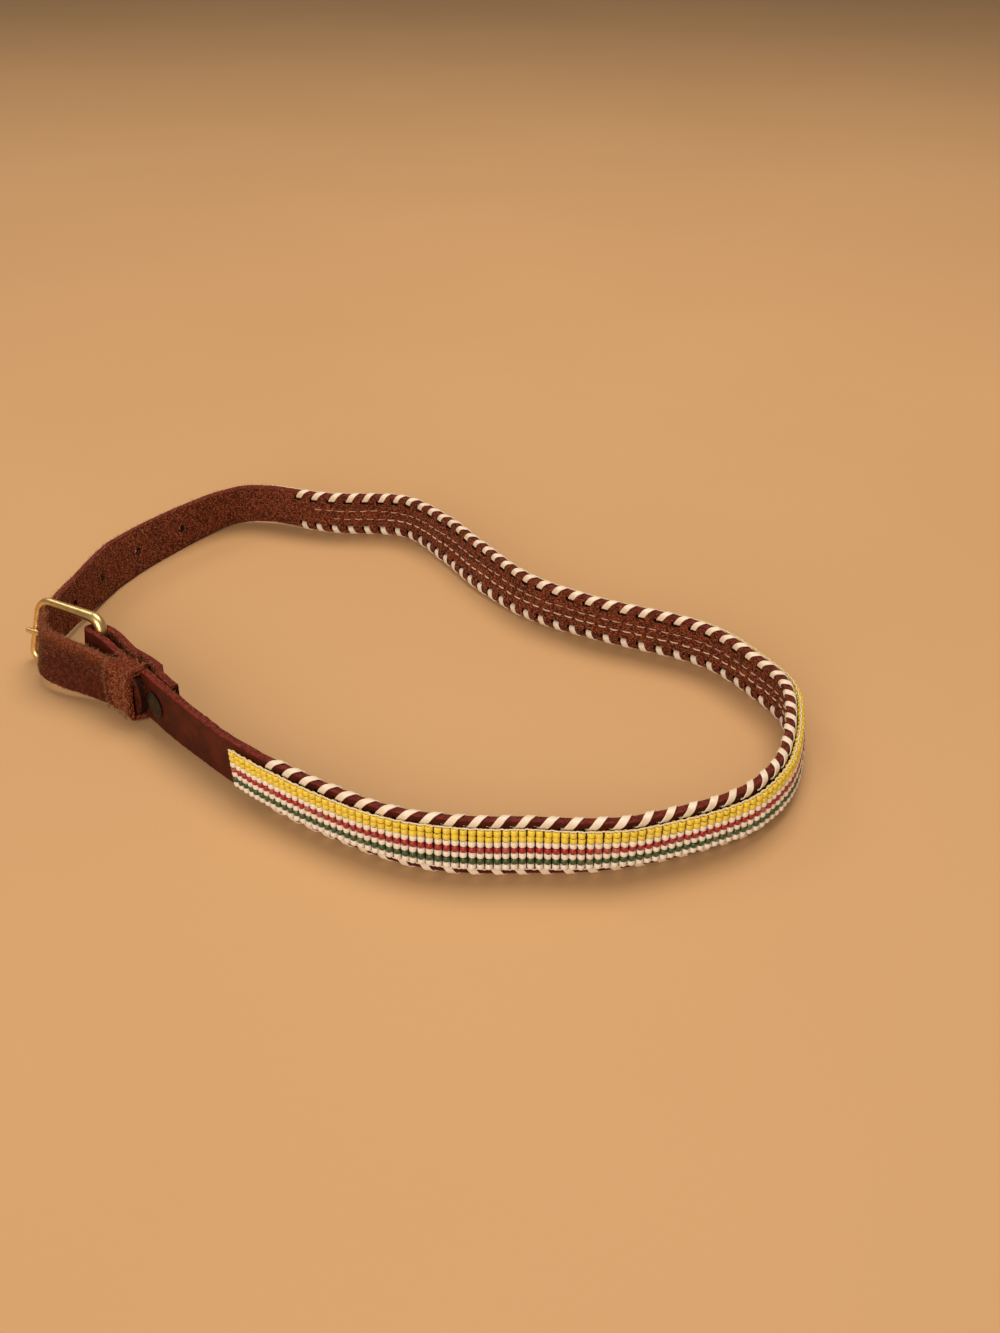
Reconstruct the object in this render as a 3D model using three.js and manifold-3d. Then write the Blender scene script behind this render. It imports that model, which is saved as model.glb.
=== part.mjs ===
// A beaded leather belt, buckled into a loose loop that stands on its lower edge.
// Millimetres, +Z up. The long laced side runs along X and the far side lies towards +Y.
// A place on the belt is given by its distance along the strap from the buckle's heel bar, its distance
// inward from the middle of the leather, and its height above the strap's lower edge.

import * as THREE from 'three'
import { mergeGeometries, mergeVertices } from 'three/addons/utils/BufferGeometryUtils.js'
import Module from 'manifold-3d'

const wasm = await Module()
wasm.setup()

// Clear space between pieces that touch
const clearance = 0.3

// The leather strap, and the size of the loop that its middle line makes
const strapWidth = 19
const strapThickness = 2.8
const loopLength = 272
const loopDepth = 237
const sectionSpacing = 8

// The end that is folded round the heel bar and riveted to itself
const foldLength = 45.3
const foldSlack = 2
const prongSlotLength = 8

// The punched end, with its holes counted back from the one on the prong
const punchedHoles = 5
const holeSpacing = 25.4
const holeDiameter = 3.4
const prongHoleStretch = 2.6
const prongHoleHeight = 1.2

// The buckle
const heelBarDiameter = 3.4
const frontBarDiameter = 2.4
const buckleReach = 34
const frontBarSlant = 4
const buckleTurn = THREE.MathUtils.degToRad(-4)
const roomBelowStrap = 0.6
const roomAboveStrap = 1.6
const roomAtFrontBar = 2.8
const buckleInnerCorner = 1.4
const prongDiameter = 1.8
const prongOverhang = 1.2
const prongEyeHeight = 3
const prongEyeWall = 1.3

// The keeper band
const keeperFromHeel = 16.5
const keeperWidth = 13.5
const keeperThickness = 1.6

// The rivet that closes the fold
const rivetFromHeel = 38.2
const rivetCapDiameter = 9.4
const rivetCapHeight = 1.7
const rivetPostDiameter = 3.4
const rivetWasherDiameter = 8
const rivetWasherHeight = 0.8

// The lace that is whipped over both edges
const laceWidth = 2.4
const laceThickness = 0.8
const lacePitch = 7.06
const laceWraps = 69
const laceInset = 2.9
const laceFromHeel = 101.5

// The beadwork band on the outer face
const bandHeight = 14.4
const bandBelowTop = 1.9
const bandThickness = 1.5
const bandPastLace = 15

// Where the middle line of the leather runs, from the heel bar along the near side and back along the far
// side. across and back are shares of the loop's length and depth. lean is in degrees, top edge outward.
const routeRows = [
  { across: 0.089, back: 0.422, lean: -11 },
  { across: 0.115, back: 0.406, lean: -5 },
  { across: 0.142, back: 0.383, lean: 0 },
  { across: 0.170, back: 0.354, lean: 0 },
  { across: 0.219, back: 0.289, lean: 0 },
  { across: 0.302, back: 0.194, lean: 4 },
  { across: 0.377, back: 0.118, lean: 0 },
  { across: 0.483, back: 0.040, lean: 0 },
  { across: 0.563, back: 0.005, lean: -5 },
  { across: 0.658, back: 0.001, lean: -5 },
  { across: 0.761, back: 0.012, lean: 5 },
  { across: 0.865, back: 0.053, lean: 4 },
  { across: 0.925, back: 0.096, lean: -2 },
  { across: 0.968, back: 0.172, lean: -6 },
  { across: 0.992, back: 0.303, lean: -8 },
  { across: 0.968, back: 0.387, lean: -9 },
  { across: 0.900, back: 0.492, lean: -10 },
  { across: 0.762, back: 0.570, lean: -10 },
  { across: 0.671, back: 0.635, lean: -3 },
  { across: 0.594, back: 0.735, lean: 10 },
  { across: 0.540, back: 0.837, lean: 9 },
  { across: 0.474, back: 0.937, lean: -4 },
  { across: 0.351, back: 0.956, lean: -9 },
  { across: 0.250, back: 0.998, lean: -14 },
  { across: 0.181, back: 0.985, lean: -14 },
  { across: 0.113, back: 0.889, lean: -1 },
  { across: 0.051, back: 0.756, lean: 8 },
  { across: 0.020, back: 0.614, lean: -4 },
]

// The end bends round the front bar and into the keeper on a curve with these handles, as shares of its span.
// Its lean is given at even steps.
const bendHandles = { fromBar: 0.5, intoKeeper: 0.35 }
const bendLeans = [-8, -12, -11, -5, 0]

// Sizes that follow

const halfThickness = strapThickness / 2
const heelBarRadius = heelBarDiameter / 2
const foldRadius = heelBarRadius + clearance + halfThickness
const keeperEnd = keeperFromHeel + keeperWidth
const laceRise = clearance + laceThickness
const keeperRise = clearance + keeperThickness
const buckleLift = 0.14
const buckleRise = roomBelowStrap + heelBarDiameter + buckleLift
const tuckedOffset = strapThickness + clearance

const smooth = THREE.MathUtils.smoothstep
const mix = THREE.MathUtils.lerp

// Reads a value from pairs of place and value, easing from each to the next
function eased(pairs, place) {
  let value = pairs[0][1]
  for (let i = 1; i < pairs.length; i++) {
    value = mix(value, pairs[i][1], smooth(place, pairs[i - 1][0], pairs[i][0]))
  }
  return value
}

// A curve through rows of x, y and lean, which can be read at any distance along it
function curveThrough(rows) {
  const curve = new THREE.SplineCurve(rows.map((row) => new THREE.Vector2(row.x, row.y)))
  const spans = rows.length - 1
  const stepsPerSpan = 24
  const points = curve.getPoints(spans * stepsPerSpan)
  const reached = [0]
  for (let i = 1; i < points.length; i++) {
    reached.push(reached[i - 1] + points[i].distanceTo(points[i - 1]))
  }
  function at(distance) {
    let i = reached.findIndex((value) => value > distance)
    if (i < 0) i = points.length - 1
    if (i < 1) i = 1
    const share = (distance - reached[i - 1]) / (reached[i] - reached[i - 1])
    const along = (i - 1 + share) / stepsPerSpan
    const row = THREE.MathUtils.clamp(Math.floor(along), 0, spans - 1)
    const direction = points[i].clone().sub(points[i - 1]).normalize()
    const before = points[Math.max(i - 2, 0)]
    const after = points[Math.min(i + 1, points.length - 1)]
    direction.add(after.clone().sub(before).normalize()).normalize()
    return {
      point: points[i - 1].clone().lerp(points[i], share),
      direction,
      lean: mix(rows[row].lean, rows[row + 1].lean, along - row),
    }
  }
  return { at, length: reached[reached.length - 1] }
}

// The first stretch of the route is laid out on its own, because the buckle, the fold, the keeper and the
// punched end are all placed from it.
const tableRows = routeRows.map((row) => ({ x: row.across * loopLength, y: row.back * loopDepth, lean: row.lean }))
const firstStretch = curveThrough(tableRows)

function besideStrap(distance, offset) {
  const { point, direction } = firstStretch.at(distance)
  return new THREE.Vector2(point.x - direction.y * offset, point.y + direction.x * offset)
}

// The heel bar stands inside the fold, and the front bar lies in line with the strap beyond it
const heelBarSpot = besideStrap(0, foldRadius)
const heelDirection = firstStretch.at(0).direction
const buckleDirection = heelDirection.clone().negate().rotateAround(new THREE.Vector2(), buckleTurn)
const frontBarSpot = heelBarSpot.clone().addScaledVector(buckleDirection, buckleReach)

// The punched end passes just inside the front bar, which it crosses on a slant
const crossingGap = frontBarDiameter / 2 + roomAtFrontBar + halfThickness
const crossing = frontBarSpot.clone().addScaledVector(buckleDirection, -crossingGap)

// Beyond it the end bends round and lies on the outer face of the strap, inside the keeper
const tipFromHeel = rivetFromHeel - rivetCapDiameter / 2 - 2 * clearance
const wedge = 1.4
const endOffsets = [[keeperFromHeel, tuckedOffset + wedge], [keeperEnd, tuckedOffset]]
const endOffset = (distance) => eased(endOffsets, distance)
const intoKeeper = besideStrap(keeperFromHeel, -endOffset(keeperFromHeel))
const lastRow = tableRows[tableRows.length - 1]
const bendSpan = crossing.distanceTo(intoKeeper)
const arriving = crossing.clone().sub(new THREE.Vector2(lastRow.x, lastRow.y)).normalize()
const leaving = firstStretch.at(keeperFromHeel).direction
const bend = new THREE.CubicBezierCurve(
  crossing,
  crossing.clone().addScaledVector(arriving, bendSpan * bendHandles.fromBar),
  intoKeeper.clone().addScaledVector(leaving, -bendSpan * bendHandles.intoKeeper),
  intoKeeper,
)
const bendRows = bendLeans.map((lean, i) => {
  const point = bend.getPoint(i / (bendLeans.length - 1))
  return { x: point.x, y: point.y, lean }
})
const keeperMiddle = (keeperFromHeel + keeperEnd) / 2
const tuckedRows = [keeperMiddle, keeperEnd, tipFromHeel].map((distance) => {
  const point = besideStrap(distance, -endOffset(distance))
  return { x: point.x, y: point.y, lean: 0 }
})
const route = curveThrough([...tableRows, ...bendRows, ...tuckedRows])
const routeLength = route.length

// The prong runs from the heel bar and lies across the outer side of the front bar
const prongRest = (frontBarDiameter + prongDiameter) / 2 + clearance
const prongLength = buckleReach + frontBarDiameter / 2 + prongOverhang
const prongTilt = Math.atan2(prongRest, buckleReach)

// The plan position of a point at a height on the strap, which its lean moves sideways
function atHeight({ point, direction, lean }, height) {
  const outward = height * Math.sin(THREE.MathUtils.degToRad(lean))
  return new THREE.Vector2(point.x + direction.y * outward, point.y - direction.x * outward)
}

// Where along the route the prong goes through the strap
function findProngHole() {
  let near = routeLength - tipFromHeel + keeperFromHeel - 2 * bendSpan
  let far = routeLength - tipFromHeel + keeperFromHeel
  const prongLine = buckleDirection.clone().rotateAround(new THREE.Vector2(), prongTilt)
  const middleHeight = strapWidth / 2
  const heelMiddle = atHeight({ ...firstStretch.at(0), point: heelBarSpot }, middleHeight)
  const beyondProng = (distance) => atHeight(route.at(distance), middleHeight).sub(heelMiddle).cross(prongLine) > 0
  const farSide = beyondProng(far)
  while (far - near > 0.01) {
    const middle = (near + far) / 2
    if (beyondProng(middle) === farSide) far = middle
    else near = middle
  }
  return near
}
const prongHoleAt = findProngHole()
const laceEnd = laceFromHeel + (laceWraps - 1) * lacePitch

// The height of the strap's lower edge above the ground, because it stands on the buckle, keeper and lace
const rises = [
  [0, buckleRise],
  [keeperFromHeel, keeperRise],
  [keeperEnd, keeperRise],
  [laceFromHeel - lacePitch, laceRise],
  [laceEnd + lacePitch, laceRise],
  [laceEnd + 60, 0],
  [prongHoleAt - 70, 0],
  [prongHoleAt, buckleRise],
  [routeLength - (tipFromHeel - keeperFromHeel), keeperRise],
]

// Directions at a distance along the route: along it, inward across the leather, and up its height
function directionsAt(distance) {
  const { point, direction, lean } = route.at(distance)
  const angle = THREE.MathUtils.degToRad(lean)
  const inward = new THREE.Vector3(-direction.y, direction.x, 0)
  const up = new THREE.Vector3(0, 0, Math.cos(angle)).addScaledVector(inward, -Math.sin(angle))
  const rise = eased(rises, distance) + (halfThickness + laceRise) * Math.abs(Math.sin(angle))
  inward.multiplyScalar(Math.cos(angle)).setZ(Math.sin(angle))
  return {
    base: new THREE.Vector3(point.x, point.y, rise),
    along: new THREE.Vector3(direction.x, direction.y, 0),
    inward,
    up,
  }
}

// The strap is flat between its sections. In the laced stretch they lie midway between the holes.
function sectionPlaces() {
  const places = []
  const spread = (from, to, spacing) => {
    const count = Math.ceil((to - from) / spacing)
    for (let i = 0; i < count; i++) places.push(from + (to - from) * i / count)
  }
  const firstMid = laceFromHeel - lacePitch / 2
  const lastMid = laceEnd + lacePitch / 2
  spread(0, firstMid, sectionSpacing)
  spread(firstMid, lastMid, lacePitch)
  spread(lastMid, prongHoleAt - sectionSpacing / 2, sectionSpacing)
  spread(prongHoleAt - sectionSpacing / 2, routeLength - strapWidth / 2, sectionSpacing / 2)
  places.push(routeLength - strapWidth / 2)
  return places
}
const places = sectionPlaces()
const sections = places.map(directionsAt)

// A point beside the strap, which follows the flat stretches between its sections
function pointAt(distance, inward, height) {
  let i = places.findIndex((value) => value > distance)
  if (i < 0) i = places.length - 1
  if (i < 1) i = 1
  const share = (distance - places[i - 1]) / (places[i] - places[i - 1])
  const corner = ({ base, inward: side, up }) => base.clone().addScaledVector(side, inward).addScaledVector(up, height)
  return corner(sections[i - 1]).lerp(corner(sections[i]), share)
}

// Turns a geometry to stand at a place on the strap: its X lies along, its Y inward and its Z up
function standAt(geometry, distance, inward, height) {
  const reach = 0.5
  const along = pointAt(distance + reach, inward, height).sub(pointAt(distance - reach, inward, height)).normalize()
  const upward = pointAt(distance, inward, height + reach).sub(pointAt(distance, inward, height - reach))
  const side = upward.clone().cross(along).normalize()
  const up = along.clone().cross(side)
  const matrix = new THREE.Matrix4().makeBasis(along, side, up)
  matrix.setPosition(pointAt(distance, inward, height))
  return geometry.applyMatrix4(matrix)
}

// An outline carried through count stops, with its own place for each point of each stop
function carried(outline, count, place) {
  const last = count - 1
  const geometry = new THREE.ExtrudeGeometry(outline, { depth: last, steps: last, bevelEnabled: false, curveSegments: 3 })
  const position = geometry.attributes.position
  for (let i = 0; i < position.count; i++) {
    const point = place(Math.round(position.getZ(i)), position.getX(i), position.getY(i))
    position.setXYZ(i, point.x, point.y, point.z)
  }
  return merged(geometry)
}

function merged(geometry) {
  geometry.deleteAttribute('normal')
  geometry.deleteAttribute('uv')
  return mergeVertices(geometry)
}

function rectangle(left, right, bottom, top) {
  const corners = [[left, bottom], [right, bottom], [right, top], [left, top]]
  return new THREE.Shape(corners.map(([x, y]) => new THREE.Vector2(x, y)))
}

function roundedRectangle(left, right, bottom, top, radius, Kind = THREE.Shape) {
  const outline = new Kind()
  outline.absarc(right - radius, bottom + radius, radius, -Math.PI / 2, 0, false)
  outline.absarc(right - radius, top - radius, radius, 0, Math.PI / 2, false)
  outline.absarc(left + radius, top - radius, radius, Math.PI / 2, Math.PI, false)
  outline.absarc(left + radius, bottom + radius, radius, Math.PI, Math.PI * 1.5, false)
  return outline
}

function toSolid(geometry) {
  const vertProperties = new Float32Array(geometry.attributes.position.array)
  const triVerts = new Uint32Array(geometry.index.array)
  return new wasm.Manifold(new wasm.Mesh({ numProp: 3, vertProperties, triVerts }))
}

function toGeometry(solid) {
  const mesh = solid.getMesh()
  const geometry = new THREE.BufferGeometry()
  geometry.setAttribute('position', new THREE.BufferAttribute(new Float32Array(mesh.vertProperties), 3))
  geometry.setIndex(new THREE.BufferAttribute(new Uint32Array(mesh.triVerts), 1))
  return geometry
}

// The strap

// How far inward the folded layer lies: round the bar, past the keeper's band, then flat at the rivet
const besideKeeper = 1
const foldOffsets = [
  [0, 2 * foldRadius],
  [keeperFromHeel - besideKeeper, tuckedOffset + keeperThickness + clearance],
  [keeperEnd + besideKeeper, tuckedOffset + keeperThickness + clearance],
  [rivetFromHeel - rivetWasherDiameter / 2, tuckedOffset],
  [foldLength, tuckedOffset],
]
const foldOffset = (distance) => eased(foldOffsets, distance)
const foldPlaces = foldOffsets.slice(1).flatMap(([place], i) => {
  const before = foldOffsets[i][0]
  return [(before + place) / 2, place]
})

function strapLeather() {
  const stops = []
  for (const distance of foldPlaces.toReversed()) {
    stops.push((side, height) => pointAt(distance, foldOffset(distance) - side, height))
  }
  const turnStops = 8
  const heel = sections[0]
  for (let i = 0; i < turnStops; i++) {
    const angle = Math.PI * (1 - i / turnStops)
    stops.push((side, height) => {
      const reach = foldRadius - side
      const point = pointAt(0, foldRadius - reach * Math.cos(angle), height)
      return point.addScaledVector(heel.along, -(reach + foldSlack) * Math.sin(angle))
    })
  }
  for (const distance of places) {
    stops.push((side, height) => pointAt(distance, side, height))
  }
  const tipStops = 5
  const tipRadius = strapWidth / 2
  const tipStart = routeLength - tipRadius
  for (let i = 1; i <= tipStops; i++) {
    const angle = Math.PI / 2 * (i / tipStops) * 0.97
    const distance = tipStart + tipRadius * Math.sin(angle)
    stops.push((side, height) => pointAt(distance, side, tipRadius + (height - tipRadius) * Math.cos(angle)))
  }
  const outline = rectangle(-halfThickness, halfThickness, 0, strapWidth)
  return carried(outline, stops.length, (stop, side, height) => stops[stop](side, height))
}

function roundCutter(diameter, sides = 12) {
  return merged(new THREE.CylinderGeometry(diameter / 2, diameter / 2, strapThickness * 2, sides))
}

function strapCuts() {
  const cuts = []
  for (let i = 0; i < laceWraps; i++) {
    for (const height of [laceInset, strapWidth - laceInset]) {
      const slit = new THREE.BoxGeometry(laceWidth + 2 * clearance, strapThickness * 2, laceThickness + 2 * clearance)
      cuts.push(standAt(merged(slit), laceFromHeel + i * lacePitch, 0, height))
    }
  }
  for (let i = 0; i < punchedHoles; i++) {
    const hole = roundCutter(holeDiameter)
    if (i === 0) hole.scale(prongHoleStretch, 1.5, prongHoleHeight)
    cuts.push(standAt(hole, prongHoleAt - i * holeSpacing, 0, strapWidth / 2))
  }
  const rivetHole = roundCutter(rivetPostDiameter + 2 * clearance)
  rivetHole.scale(1, 2, 1)
  cuts.push(standAt(rivetHole, rivetFromHeel, tuckedOffset / 2, strapWidth / 2))
  const slotReach = foldRadius + foldSlack + strapThickness
  const slot = new THREE.BoxGeometry(slotReach + prongSlotLength, 4 * foldRadius, prongEyeHeight + 4 * clearance)
  slot.translate((prongSlotLength - slotReach) / 2, 0, 0)
  cuts.push(standAt(merged(slot), 0, foldRadius, strapWidth / 2))
  return mergeGeometries(cuts)
}

const strap = toGeometry(toSolid(strapLeather()).subtract(toSolid(strapCuts())))

// The lace goes up the outer face, over the edge, down the inner face and out through the next slit
function lace(edge) {
  const side = halfThickness + clearance + laceThickness / 2
  const beyond = clearance + laceThickness / 2
  const rise = beyond + laceInset
  const turn = 2 * rise + 2 * side
  const corners = [
    { share: 0, inward: -side, past: -laceInset },
    { share: rise / turn, inward: -side, past: beyond },
    { share: (rise + 2 * side) / turn, inward: side, past: beyond },
    { share: 1, inward: side, past: -laceInset },
  ]
  const stops = []
  for (let i = 0; i < laceWraps - 1; i++) {
    for (const corner of corners) {
      stops.push({ ...corner, distance: laceFromHeel + (i + corner.share) * lacePitch })
    }
  }
  const outline = new THREE.Shape()
  outline.moveTo(-laceWidth / 2, -laceThickness / 2)
  outline.lineTo(laceWidth / 2, -laceThickness / 2)
  outline.lineTo(0, laceThickness / 2)
  return carried(outline, stops.length, (stop, width, thickness) => {
    const { distance, inward, past } = stops[stop]
    const out = past + Math.sign(past) * thickness
    const height = edge > 0 ? strapWidth + out : -out
    return pointAt(distance - edge * width, inward + Math.sign(inward) * thickness, height)
  })
}

// The beadwork band lies over the ends of the lace on the outer face
function beadBand() {
  const top = strapWidth - bandBelowTop
  const back = -halfThickness - laceThickness - 2 * clearance
  const outline = rectangle(back - bandThickness, back, top - bandHeight, top)
  const start = laceFromHeel - bandPastLace
  const end = laceEnd + bandPastLace
  const stops = [start, ...places.filter((place) => place > start + 1 && place < end - 1), end]
  return carried(outline, stops.length, (stop, inward, height) => pointAt(stops[stop], inward, height))
}

// The keeper is a closed band round the strap and the end that is tucked into it
function keeper() {
  const nearSide = halfThickness + clearance
  const widest = endOffset(keeperFromHeel)
  const room = [-widest - nearSide, nearSide, -clearance, strapWidth + clearance]
  const wall = [-keeperThickness, keeperThickness, -keeperThickness, keeperThickness]
  const outside = room.map((value, i) => value + wall[i])
  const insideRadius = 0.5
  const outline = roundedRectangle(...outside, insideRadius + keeperThickness)
  outline.holes.push(roundedRectangle(...room, insideRadius, THREE.Path))
  const covered = places.filter((place) => place > keeperFromHeel && place < keeperEnd)
  const stops = [keeperFromHeel, ...covered, keeperEnd]
  return carried(outline, stops.length, (stop, inward, height) => {
    const closer = inward < 0 ? widest - endOffset(stops[stop]) : 0
    return pointAt(stops[stop], inward + closer, height)
  })
}

// The buckle stands in a plane of its own: reach runs from the heel bar to the front bar, and side is outward
const heelUp = sections[0].up
const reachAxis = sections[0].along.clone().negate().applyAxisAngle(heelUp, buckleTurn)
const sideAxis = heelUp.clone().cross(reachAxis)

function inBuckle(reach, height, side) {
  const point = pointAt(0, foldRadius, height)
  return point.addScaledVector(reachAxis, reach).addScaledVector(sideAxis, side)
}

function barRadius(reach) {
  return mix(heelBarDiameter, frontBarDiameter, smooth(reach, 0, buckleReach)) / 2
}

// The frame is a ring whose bar grows from the front bar to the heel bar. The front bar slants out at its foot.
function buckleFrame() {
  const opening = roundedRectangle(
    heelBarRadius,
    buckleReach - frontBarDiameter / 2,
    -roomBelowStrap,
    strapWidth + roomAboveStrap,
    buckleInnerCorner,
  )
  const inner = opening.getPoints(4)
  const count = inner.length
  const sides = 8
  const ring = new THREE.TorusGeometry(1, 0.5, sides, count)
  const position = ring.attributes.position
  for (let i = 0; i < position.count; i++) {
    const stop = i % (count + 1) % count
    const angle = 2 * Math.PI * Math.floor(i / (count + 1)) / sides
    const before = inner[(stop + count - 1) % count]
    const after = inner[(stop + 1) % count]
    const path = after.clone().sub(before).normalize()
    const radius = barRadius(inner[stop].x)
    const out = radius * (1 + Math.cos(angle))
    const reach = inner[stop].x + path.y * out
    const height = inner[stop].y - path.x * out
    const slant = frontBarSlant * smooth(reach, 0, buckleReach) * (0.5 - height / strapWidth)
    const point = inBuckle(reach + slant, height, -radius * Math.sin(angle))
    position.setXYZ(i, point.x, point.y, point.z)
  }
  return merged(ring)
}

// The prong is an eye round the heel bar with a straight rod, which rests on the front bar
function prong() {
  const eyeRadius = heelBarRadius + clearance
  const eye = new THREE.Shape()
  eye.absarc(0, 0, eyeRadius + prongEyeWall, 0, 2 * Math.PI, false)
  const hole = new THREE.Path()
  hole.absarc(0, 0, eyeRadius, 0, 2 * Math.PI, true)
  eye.holes.push(hole)
  const ring = new THREE.ExtrudeGeometry(eye, { depth: prongEyeHeight, bevelEnabled: false, curveSegments: 8 })
  ring.translate(0, 0, -prongEyeHeight / 2)
  const rodStart = eyeRadius + prongEyeWall / 2
  const rod = new THREE.CylinderGeometry(prongDiameter / 2, prongDiameter / 2, prongLength - rodStart, 10)
  rod.rotateZ(Math.PI / 2)
  rod.translate((prongLength + rodStart) / 2, 0, 0)
  rod.rotateZ(prongTilt)
  const geometry = toGeometry(toSolid(merged(ring)).add(toSolid(merged(rod))))
  const matrix = new THREE.Matrix4().makeBasis(reachAxis, sideAxis, heelUp)
  matrix.setPosition(inBuckle(0, strapWidth / 2, 0))
  return geometry.applyMatrix4(matrix)
}

// The rivet: a domed cap outside, a post through both layers and a flat washer inside
function rivet() {
  const face = halfThickness + clearance
  const capRadius = rivetCapDiameter / 2
  const postRadius = rivetPostDiameter / 2
  const washerRadius = rivetWasherDiameter / 2
  const back = tuckedOffset + face
  const profile = [new THREE.Vector2(0, -face - rivetCapHeight)]
  const domeStops = 3
  for (let i = 1; i <= domeStops; i++) {
    const angle = Math.PI / 2 * i / domeStops
    const drop = (rivetCapHeight - clearance) * (1 - Math.cos(angle))
    profile.push(new THREE.Vector2(capRadius * Math.sin(angle), -face - rivetCapHeight + drop))
  }
  profile.push(
    new THREE.Vector2(capRadius, -face),
    new THREE.Vector2(postRadius, -face),
    new THREE.Vector2(postRadius, back),
    new THREE.Vector2(washerRadius, back),
    new THREE.Vector2(washerRadius, back + rivetWasherHeight),
    new THREE.Vector2(0, back + rivetWasherHeight),
  )
  const geometry = merged(new THREE.LatheGeometry(profile, 16))
  return standAt(geometry, rivetFromHeel, 0, strapWidth / 2)
}

const group = new THREE.Group()

function addMesh(name, geometry, color, roughness, metalness = 0) {
  const material = new THREE.MeshStandardMaterial({ color, roughness, metalness })
  const mesh = new THREE.Mesh(geometry, material)
  mesh.name = name
  group.add(mesh)
}

addMesh('strap', strap, 0x5a2718, 0.8)
addMesh('keeper', keeper(), 0x7a3c22, 0.9)
addMesh('lace_top', lace(1), 0xe9dcc6, 0.5)
addMesh('lace_bottom', lace(-1), 0xe9dcc6, 0.5)
addMesh('bead_band', beadBand(), 0xe3b92c, 0.35)
addMesh('buckle_frame', buckleFrame(), 0xc99a4a, 0.3, 1)
addMesh('buckle_prong', prong(), 0xc99a4a, 0.3, 1)
addMesh('rivet', rivet(), 0x3a3024, 0.45, 1)

// The origin is the middle of the belt at the level that it stands on
const box = new THREE.Box3().setFromObject(group)
const middle = box.getCenter(new THREE.Vector3())
group.position.set(-middle.x, -middle.y, -box.min.z)

export default group
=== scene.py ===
# %% [markdown]
# # A beaded leather belt
# A narrow leather belt, buckled into a loose loop and stood on its lower edge. White lace is whipped over
# both edges, and a woven strip of seed beads is fixed to the outer face. The solids come from the CAD model,
# and this lesson makes what a rigid solid can't show: smooth bent leather, rough suede, beads and thread.

# %% Load the frame
import math
import random

import bmesh
import bpy
import numpy as np
from mathutils import Matrix, Vector, noise


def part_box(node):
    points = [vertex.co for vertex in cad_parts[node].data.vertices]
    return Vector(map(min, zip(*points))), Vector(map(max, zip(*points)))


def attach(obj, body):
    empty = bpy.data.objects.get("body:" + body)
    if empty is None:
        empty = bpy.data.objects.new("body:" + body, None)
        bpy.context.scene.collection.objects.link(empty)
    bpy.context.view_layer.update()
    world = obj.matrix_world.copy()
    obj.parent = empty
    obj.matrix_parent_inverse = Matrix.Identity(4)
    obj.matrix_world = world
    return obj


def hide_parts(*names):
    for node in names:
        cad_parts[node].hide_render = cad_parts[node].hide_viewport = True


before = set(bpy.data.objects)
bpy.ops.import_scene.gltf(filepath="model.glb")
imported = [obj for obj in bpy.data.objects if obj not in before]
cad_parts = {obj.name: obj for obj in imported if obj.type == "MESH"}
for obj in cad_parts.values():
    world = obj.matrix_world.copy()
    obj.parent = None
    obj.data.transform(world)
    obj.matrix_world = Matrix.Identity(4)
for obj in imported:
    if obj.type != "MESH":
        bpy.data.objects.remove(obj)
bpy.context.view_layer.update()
random.seed(7)
print("nodes:", sorted(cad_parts))

# %% [markdown]
# ## The camera
# The photograph was taken from a little above the table, looking down at about 32 degrees. The strap has the
# same width all round, so the height of its near and far sides in the picture gives the camera's height and
# pitch. The floor is a plain pale sheet. Two large soft panels light it, one overhead and one in front, and
# a small panel behind on the left gives the brass its bright line.

# %% Camera, floor and light
MM = 0.001
camera_spot = (36.21, -426.65, 270.13)
camera_pitch = 32.4
camera_data = bpy.data.cameras.new("camera")
camera_data.lens = 36.46
camera_data.sensor_width = 36
camera = bpy.data.objects.new("camera", camera_data)
camera.location = [value * MM for value in camera_spot]
camera.rotation_euler = (math.radians(90 - camera_pitch), 0, 0)
bpy.context.scene.collection.objects.link(camera)
bpy.context.scene.camera = camera


def lamp(name, location, target, size, power, color):
    data = bpy.data.lights.new(name, "AREA")
    data.shape = "DISK"
    data.size = size
    data.energy = power
    data.color = color
    light = bpy.data.objects.new(name, data)
    light.location = location
    aim = Vector(target) - Vector(location)
    light.rotation_euler = aim.to_track_quat("-Z", "Y").to_euler()
    bpy.context.scene.collection.objects.link(light)


lamp("overhead", (0.25, 0.45, 1.5), (0, 0.05, 0), 1.1, 16.5, (1.0, 0.84, 0.67))
lamp("fill", (-0.5, -1.4, 0.8), (0, 0, 0), 1.2, 17, (1.0, 0.87, 0.72))
lamp("rim", (-1.1, 1.0, 1.4), (0, 0, 0), 0.8, 5, (1.0, 0.86, 0.7))
world = bpy.data.worlds.new("studio")
world.use_nodes = True
background = world.node_tree.nodes["Background"]
background.inputs["Color"].default_value = (1.0, 0.86, 0.7, 1)
background.inputs["Strength"].default_value = 0.22
bpy.context.scene.world = world
bpy.context.scene.view_settings.view_transform = "Standard"
print("camera:", [round(value, 4) for value in camera.location])

# %% [markdown]
# ## The belt's route
# A maker builds a belt flat on the bench and only then bends it. This lesson does the same. Every piece is
# modelled flat in millimetres: X runs along the strap from the buckle's heel bar, Y goes inward through the
# leather and Z goes up its width. One function then lays the flat piece along the route. The route is a
# smooth curve through the same rows as in the CAD model, and each row has a lean, because the strap tips in
# and out as it goes round.

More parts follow.
